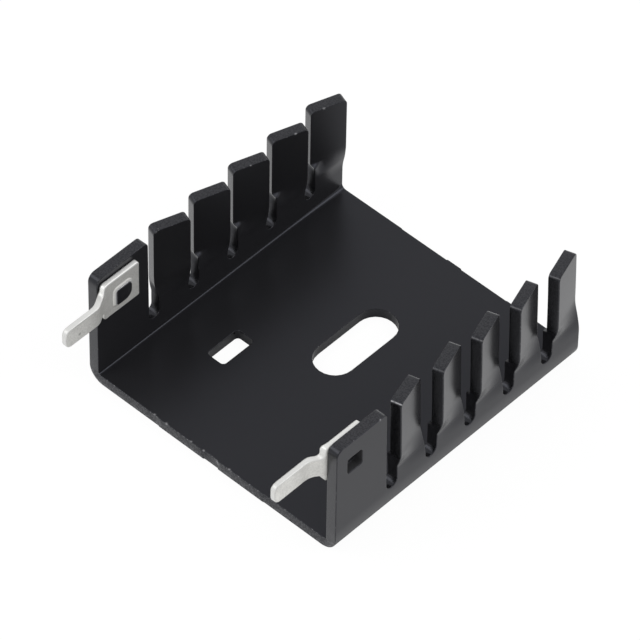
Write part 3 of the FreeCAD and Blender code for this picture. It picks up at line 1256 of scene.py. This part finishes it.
@dataclass(frozen=True)
class SolderTab:
    """A tinned tab: a plate on the wall, a jog inwards and a pin past the near end."""

    stake: Stake
    wall_inner: float
    near: float
    stud: StudSizes = StudSizes()
    thickness: float = 0.62
    above_stud: float = 2.25
    below_stud: float = 1.95
    far_reach: float = 2.1
    near_reach: float = 2.4
    plate_corner: float = 0.42
    far_corner: float = 0.22
    rim_height: float = 0.13
    rim_width: float = 0.34
    pin_height: float = 2.12
    pin_above_stud: float = 0.33
    pin_reach: float = 7.9
    pin_tip: float = 0.65
    pin_root: float = 0.42
    jog_offset: float = 0.855
    jog_bend: float = 1.1
    soft_edge: float = 0.13

    @property
    def stud_v(self) -> float:
        """The stud's place along the channel."""
        return self.near + self.stake.stud_setback

    @property
    def tip(self) -> float:
        """The pin's tip."""
        return self.stud_v - self.pin_reach

    @property
    def plate_near(self) -> float:
        """The plate's near edge, where the jog begins."""
        return self.stud_v - self.near_reach - self.stake.plate_advance

    @property
    def plate_far(self) -> float:
        """The plate's far edge."""
        return self.stud_v + self.far_reach - self.stake.plate_advance

    @property
    def plate_low(self) -> float:
        """Height of the plate's lower edge."""
        return self.stud.middle_height - self.below_stud + self.stake.plate_rise

    def outline(self) -> Ring:
        """Draw the tab from the side.

        Returns:
            Its points, along the channel and up.
        """
        low, high = self.plate_low, self.stud.middle_height + self.above_stud + self.stake.plate_rise
        pin_low = self.stud.middle_height + self.pin_above_stud - self.pin_height / 2
        pin_high = pin_low + self.pin_height
        return rounded([(self.tip, pin_low, self.pin_tip), (self.plate_near, pin_low, self.pin_root),
                        (self.plate_near, low, self.plate_corner), (self.plate_far, low, self.far_corner),
                        (self.plate_far, high, self.far_corner), (self.plate_near, high, self.plate_corner),
                        (self.plate_near, pin_high, self.pin_root), (self.tip, pin_high, self.pin_tip)])

    def strip_edge(self, is_outer: bool) -> Ring:
        """Draw one face of the strip in plan.

        Args:
            is_outer: Whether it is the face on the wall's side.

        Returns:
            Its points, from beyond the tip to beyond the plate's far edge.
        """
        spare, angle = 1.0, math.radians(self.stake.jog_angle)
        shift = 0.0 if is_outer else self.thickness * math.tan(angle / 2)
        x = self.wall_inner - (0.0 if is_outer else self.thickness)
        small, large = self.jog_bend, self.jog_bend + self.thickness
        first, second = (large, small) if is_outer else (small, large)
        jog_v = self.plate_near - self.jog_offset / math.tan(angle)
        pin_x = x - self.jog_offset
        return rounded([(self.tip - spare, pin_x, 0), (jog_v + shift, pin_x, first),
                        (self.plate_near + shift, x, second), (self.plate_far + spare, x, 0)], closed=False)

    def rim_profile(self) -> Profile:
        """Draw the profile of the square hole, whose rim the staking has raised.

        Returns:
            Its lines, from the wall's side up and out onto the plate.
        """
        small, support, foot, width = 0.03, 0.05, self.thickness, self.rim_width
        top = foot + self.rim_height
        return [(-small, 0.0, 0.0), (0.0, small, 1.0), (0.0, top - 0.04, 1.0), (-small, top, 1.0),
                (-0.35 * width, top - 0.01, 0.6), (-0.75 * width, foot + small, 0.3), (-width, foot, 0.0),
                (-width - support, foot, 0.0)]

    def blank(self) -> Blank:
        """Cut the flat tab, with its square hole.

        Returns:
            The blank, with depth 0 on the wall.
        """
        jog_reach, jog_spacing, jog_count = 2.2, 0.16, 20
        pin_spacing, pin_count, row_spacing, row_count = 0.8, 3, 0.42, 9
        blank = Blank()
        v_lines = sorted([self.plate_near - jog_reach + jog_spacing * step for step in range(jog_count)]
                         + [self.tip + pin_spacing * (step + 1) for step in range(pin_count)])
        ring = divided(self.outline(), v_lines, EDGE_SPACING)
        back, face = blank.edge(ring, cut_profile(self.thickness, self.soft_edge, self.soft_edge))
        hole = [(self.stud_v + run, self.stud.middle_height + rise) for run, rise in self.stud.outline()]
        start, rim = blank.edge(hole, self.rim_profile())
        rows = [self.plate_low + row_spacing * (step + 1) for step in range(row_count)]
        lattice = [(v, z) for v in v_lines for z in rows]
        blank.fill(back, [start], lattice)
        blank.fill(face, [rim], lattice)
        return blank

    def build(self, name: str, node: str, finish: bpy.types.Material) -> bpy.types.Object:
        """Cut the tab and bend its jog.

        Args:
            name: The piece's name.
            node: The node of the record that it stands for.
            finish: Its material.

        Returns:
            The tab, as a plain mesh object.
        """
        outer, inner = self.strip_edge(is_outer=True), self.strip_edge(is_outer=False)

        def bent(v: float, z: float, depth: float) -> Vector:
            """Place a point of the flat tab on its wall."""
            x = at(outer, v) + (at(inner, v) - at(outer, v)) * depth / self.thickness
            return Vector((self.stake.side * x, v, z)) * MM

        mesh = self.blank().mesh(name, bent)
        mesh.materials.append(finish)
        piece = bpy.data.objects.new(name, mesh)
        bpy.context.scene.collection.objects.link(piece)
        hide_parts(node)
        return piece


def white_rays(graph: Graph) -> tuple[Socket, Socket]:
    """Tell apart the rays that should see a white background.

    Args:
        graph: Where the nodes go.

    Returns:
        Masks of the camera's own rays and of those that metal and glass send on.
    """
    seen, glossy, through = (graph.add("ShaderNodeLightPath", output=f"Is {kind} Ray")
                             for kind in ("Camera", "Glossy", "Transmission"))
    return seen, (glossy + through).clamped()


@dataclass(frozen=True)
class Softbox:
    """A square lamp that looks at the heat sink."""

    name: str
    place: Place
    size: float
    watts: float


@dataclass(frozen=True)
class Studio:
    """The pale floor, the plain soft light and the camera of the photograph, in metres and degrees."""

    camera_place: Place = (0.251825, -0.277566, 0.420122)
    camera_turn: tuple[float, float, float] = (42.1552, -0.7283, 43.2251)
    focal_length: float = 354.505
    sensor_width: float = 36.0
    clip: Span = (0.01, 20.0)
    world_level: float = 0.65
    floor_half: float = 3.0
    floor_level: float = -0.00003
    floor_color: Color = (0.95, 0.95, 0.95)
    floor_glow: float = 1.03
    footprint: Point = (0.0150, 0.0159)
    contact_reach: float = 0.0005
    shadow_share: float = 0.08
    softboxes: tuple[Softbox, ...] = (
        Softbox("key_softbox", (-0.32, -0.4, 0.42), 0.34, 0.7),
        Softbox("fill_softbox", (0.45, 0.35, 0.5), 0.4, 1.2),
    )

    def build(self) -> None:
        """Set up the whole studio."""
        self.camera()
        self.floor()
        self.world()
        for softbox in self.softboxes:
            self.lamp(softbox)
        bpy.context.scene.view_settings.view_transform = "Standard"

    def camera(self) -> None:
        """Place the camera where the photograph was taken from."""
        data = bpy.data.cameras.new("camera")
        data.lens, data.sensor_width = self.focal_length, self.sensor_width
        data.clip_start, data.clip_end = self.clip
        camera = bpy.data.objects.new("camera", data)
        camera.location = self.camera_place
        camera.rotation_euler = [math.radians(angle) for angle in self.camera_turn]
        bpy.context.scene.collection.objects.link(camera)
        bpy.context.scene.camera = camera

    def floor(self) -> None:
        """Lay a floor that the camera and reflections see as white, with the heat sink's shadow on it.

        Reflections see plain paint under the heat sink, which would otherwise seem to glow from below.
        """
        half, level = self.floor_half, self.floor_level
        mesh = bpy.data.meshes.new("floor")
        mesh.from_pydata([(-half, -half, level), (half, -half, level), (half, half, level),
                          (-half, half, level)], [], [(0, 1, 2, 3)])
        material, graph, shader = new_material("floor")
        graph.tree.nodes.remove(shader)
        seen, mirrored = white_rays(graph)
        x, y = graph.parts(graph.add("ShaderNodeTexCoord", output="Object"), "XY")
        half_width, half_length = self.footprint
        covered = (1 - x.calc("ABSOLUTE").share(half_width, half_width + self.contact_reach)) \
            * (1 - y.calc("ABSOLUTE").share(half_length, half_length + self.contact_reach))
        paint = graph.add("ShaderNodeBsdfDiffuse", inputs={"Color": (*self.floor_color, 1)})
        glow = graph.add("ShaderNodeEmission", inputs={"Color": (1, 1, 1, 1), "Strength": self.floor_glow})
        white = graph.add("ShaderNodeMixShader", inputs={
            0: seen * (1 - self.shadow_share) + mirrored * (1 - covered), 1: paint, 2: glow})
        graph.feed(graph.tree.nodes["Material Output"], {"Surface": white})
        mesh.materials.append(material)
        floor = bpy.data.objects.new("floor", mesh)
        bpy.context.scene.collection.objects.link(floor)

    def world(self) -> None:
        """Light everything evenly from all round."""
        world = bpy.data.worlds.new("studio")
        world.use_nodes = True
        graph = Graph(world.node_tree)
        seen, mirrored = white_rays(graph)
        graph.feed(world.node_tree.nodes["Background"], {
            "Color": (1, 1, 1, 1),
            "Strength": self.world_level + (seen + mirrored).clamped() * (1 - self.world_level)})
        bpy.context.scene.world = world

    def lamp(self, softbox: Softbox) -> None:
        """Hang one softbox, turned to the heat sink.

        Args:
            softbox: The softbox.
        """
        data = bpy.data.lights.new(softbox.name, "AREA")
        data.shape, data.size, data.energy = "SQUARE", softbox.size, softbox.watts
        lamp = bpy.data.objects.new(softbox.name, data)
        lamp.location = softbox.place
        lamp.rotation_euler = Vector(softbox.place).to_track_quat("Z", "Y").to_euler()
        bpy.context.scene.collection.objects.link(lamp)


def main() -> None:
    """Build every piece, let it ride on the body, and set up the studio."""
    logging.basicConfig(level=logging.INFO, format="%(name)s: %(message)s")
    left = Stake(side=-1, stud_setback=2.6, jog_angle=30.0)
    right = Stake(side=1, stud_setback=2.3, jog_angle=40.0, plate_rise=0.36, plate_advance=0.1)
    sheet = ChannelSheet()
    wall_inner = sheet.width / 2 - sheet.thickness
    tin = TinPlate().material()
    pieces = [
        sheet.build([left, right], BlackAnodise().material()),
        SolderTab(left, wall_inner, sheet.near).build("tinned_tab_left", "solder_tab_left", tin),
        SolderTab(right, wall_inner, sheet.near).build("tinned_tab_right", "solder_tab_right", tin),
    ]
    for piece in pieces:
        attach(piece, "root")
        log.info("%s: %d points, %d faces", piece.name, len(piece.data.vertices), len(piece.data.polygons))
    Studio().build()


if __name__ == "__main__":
    main()
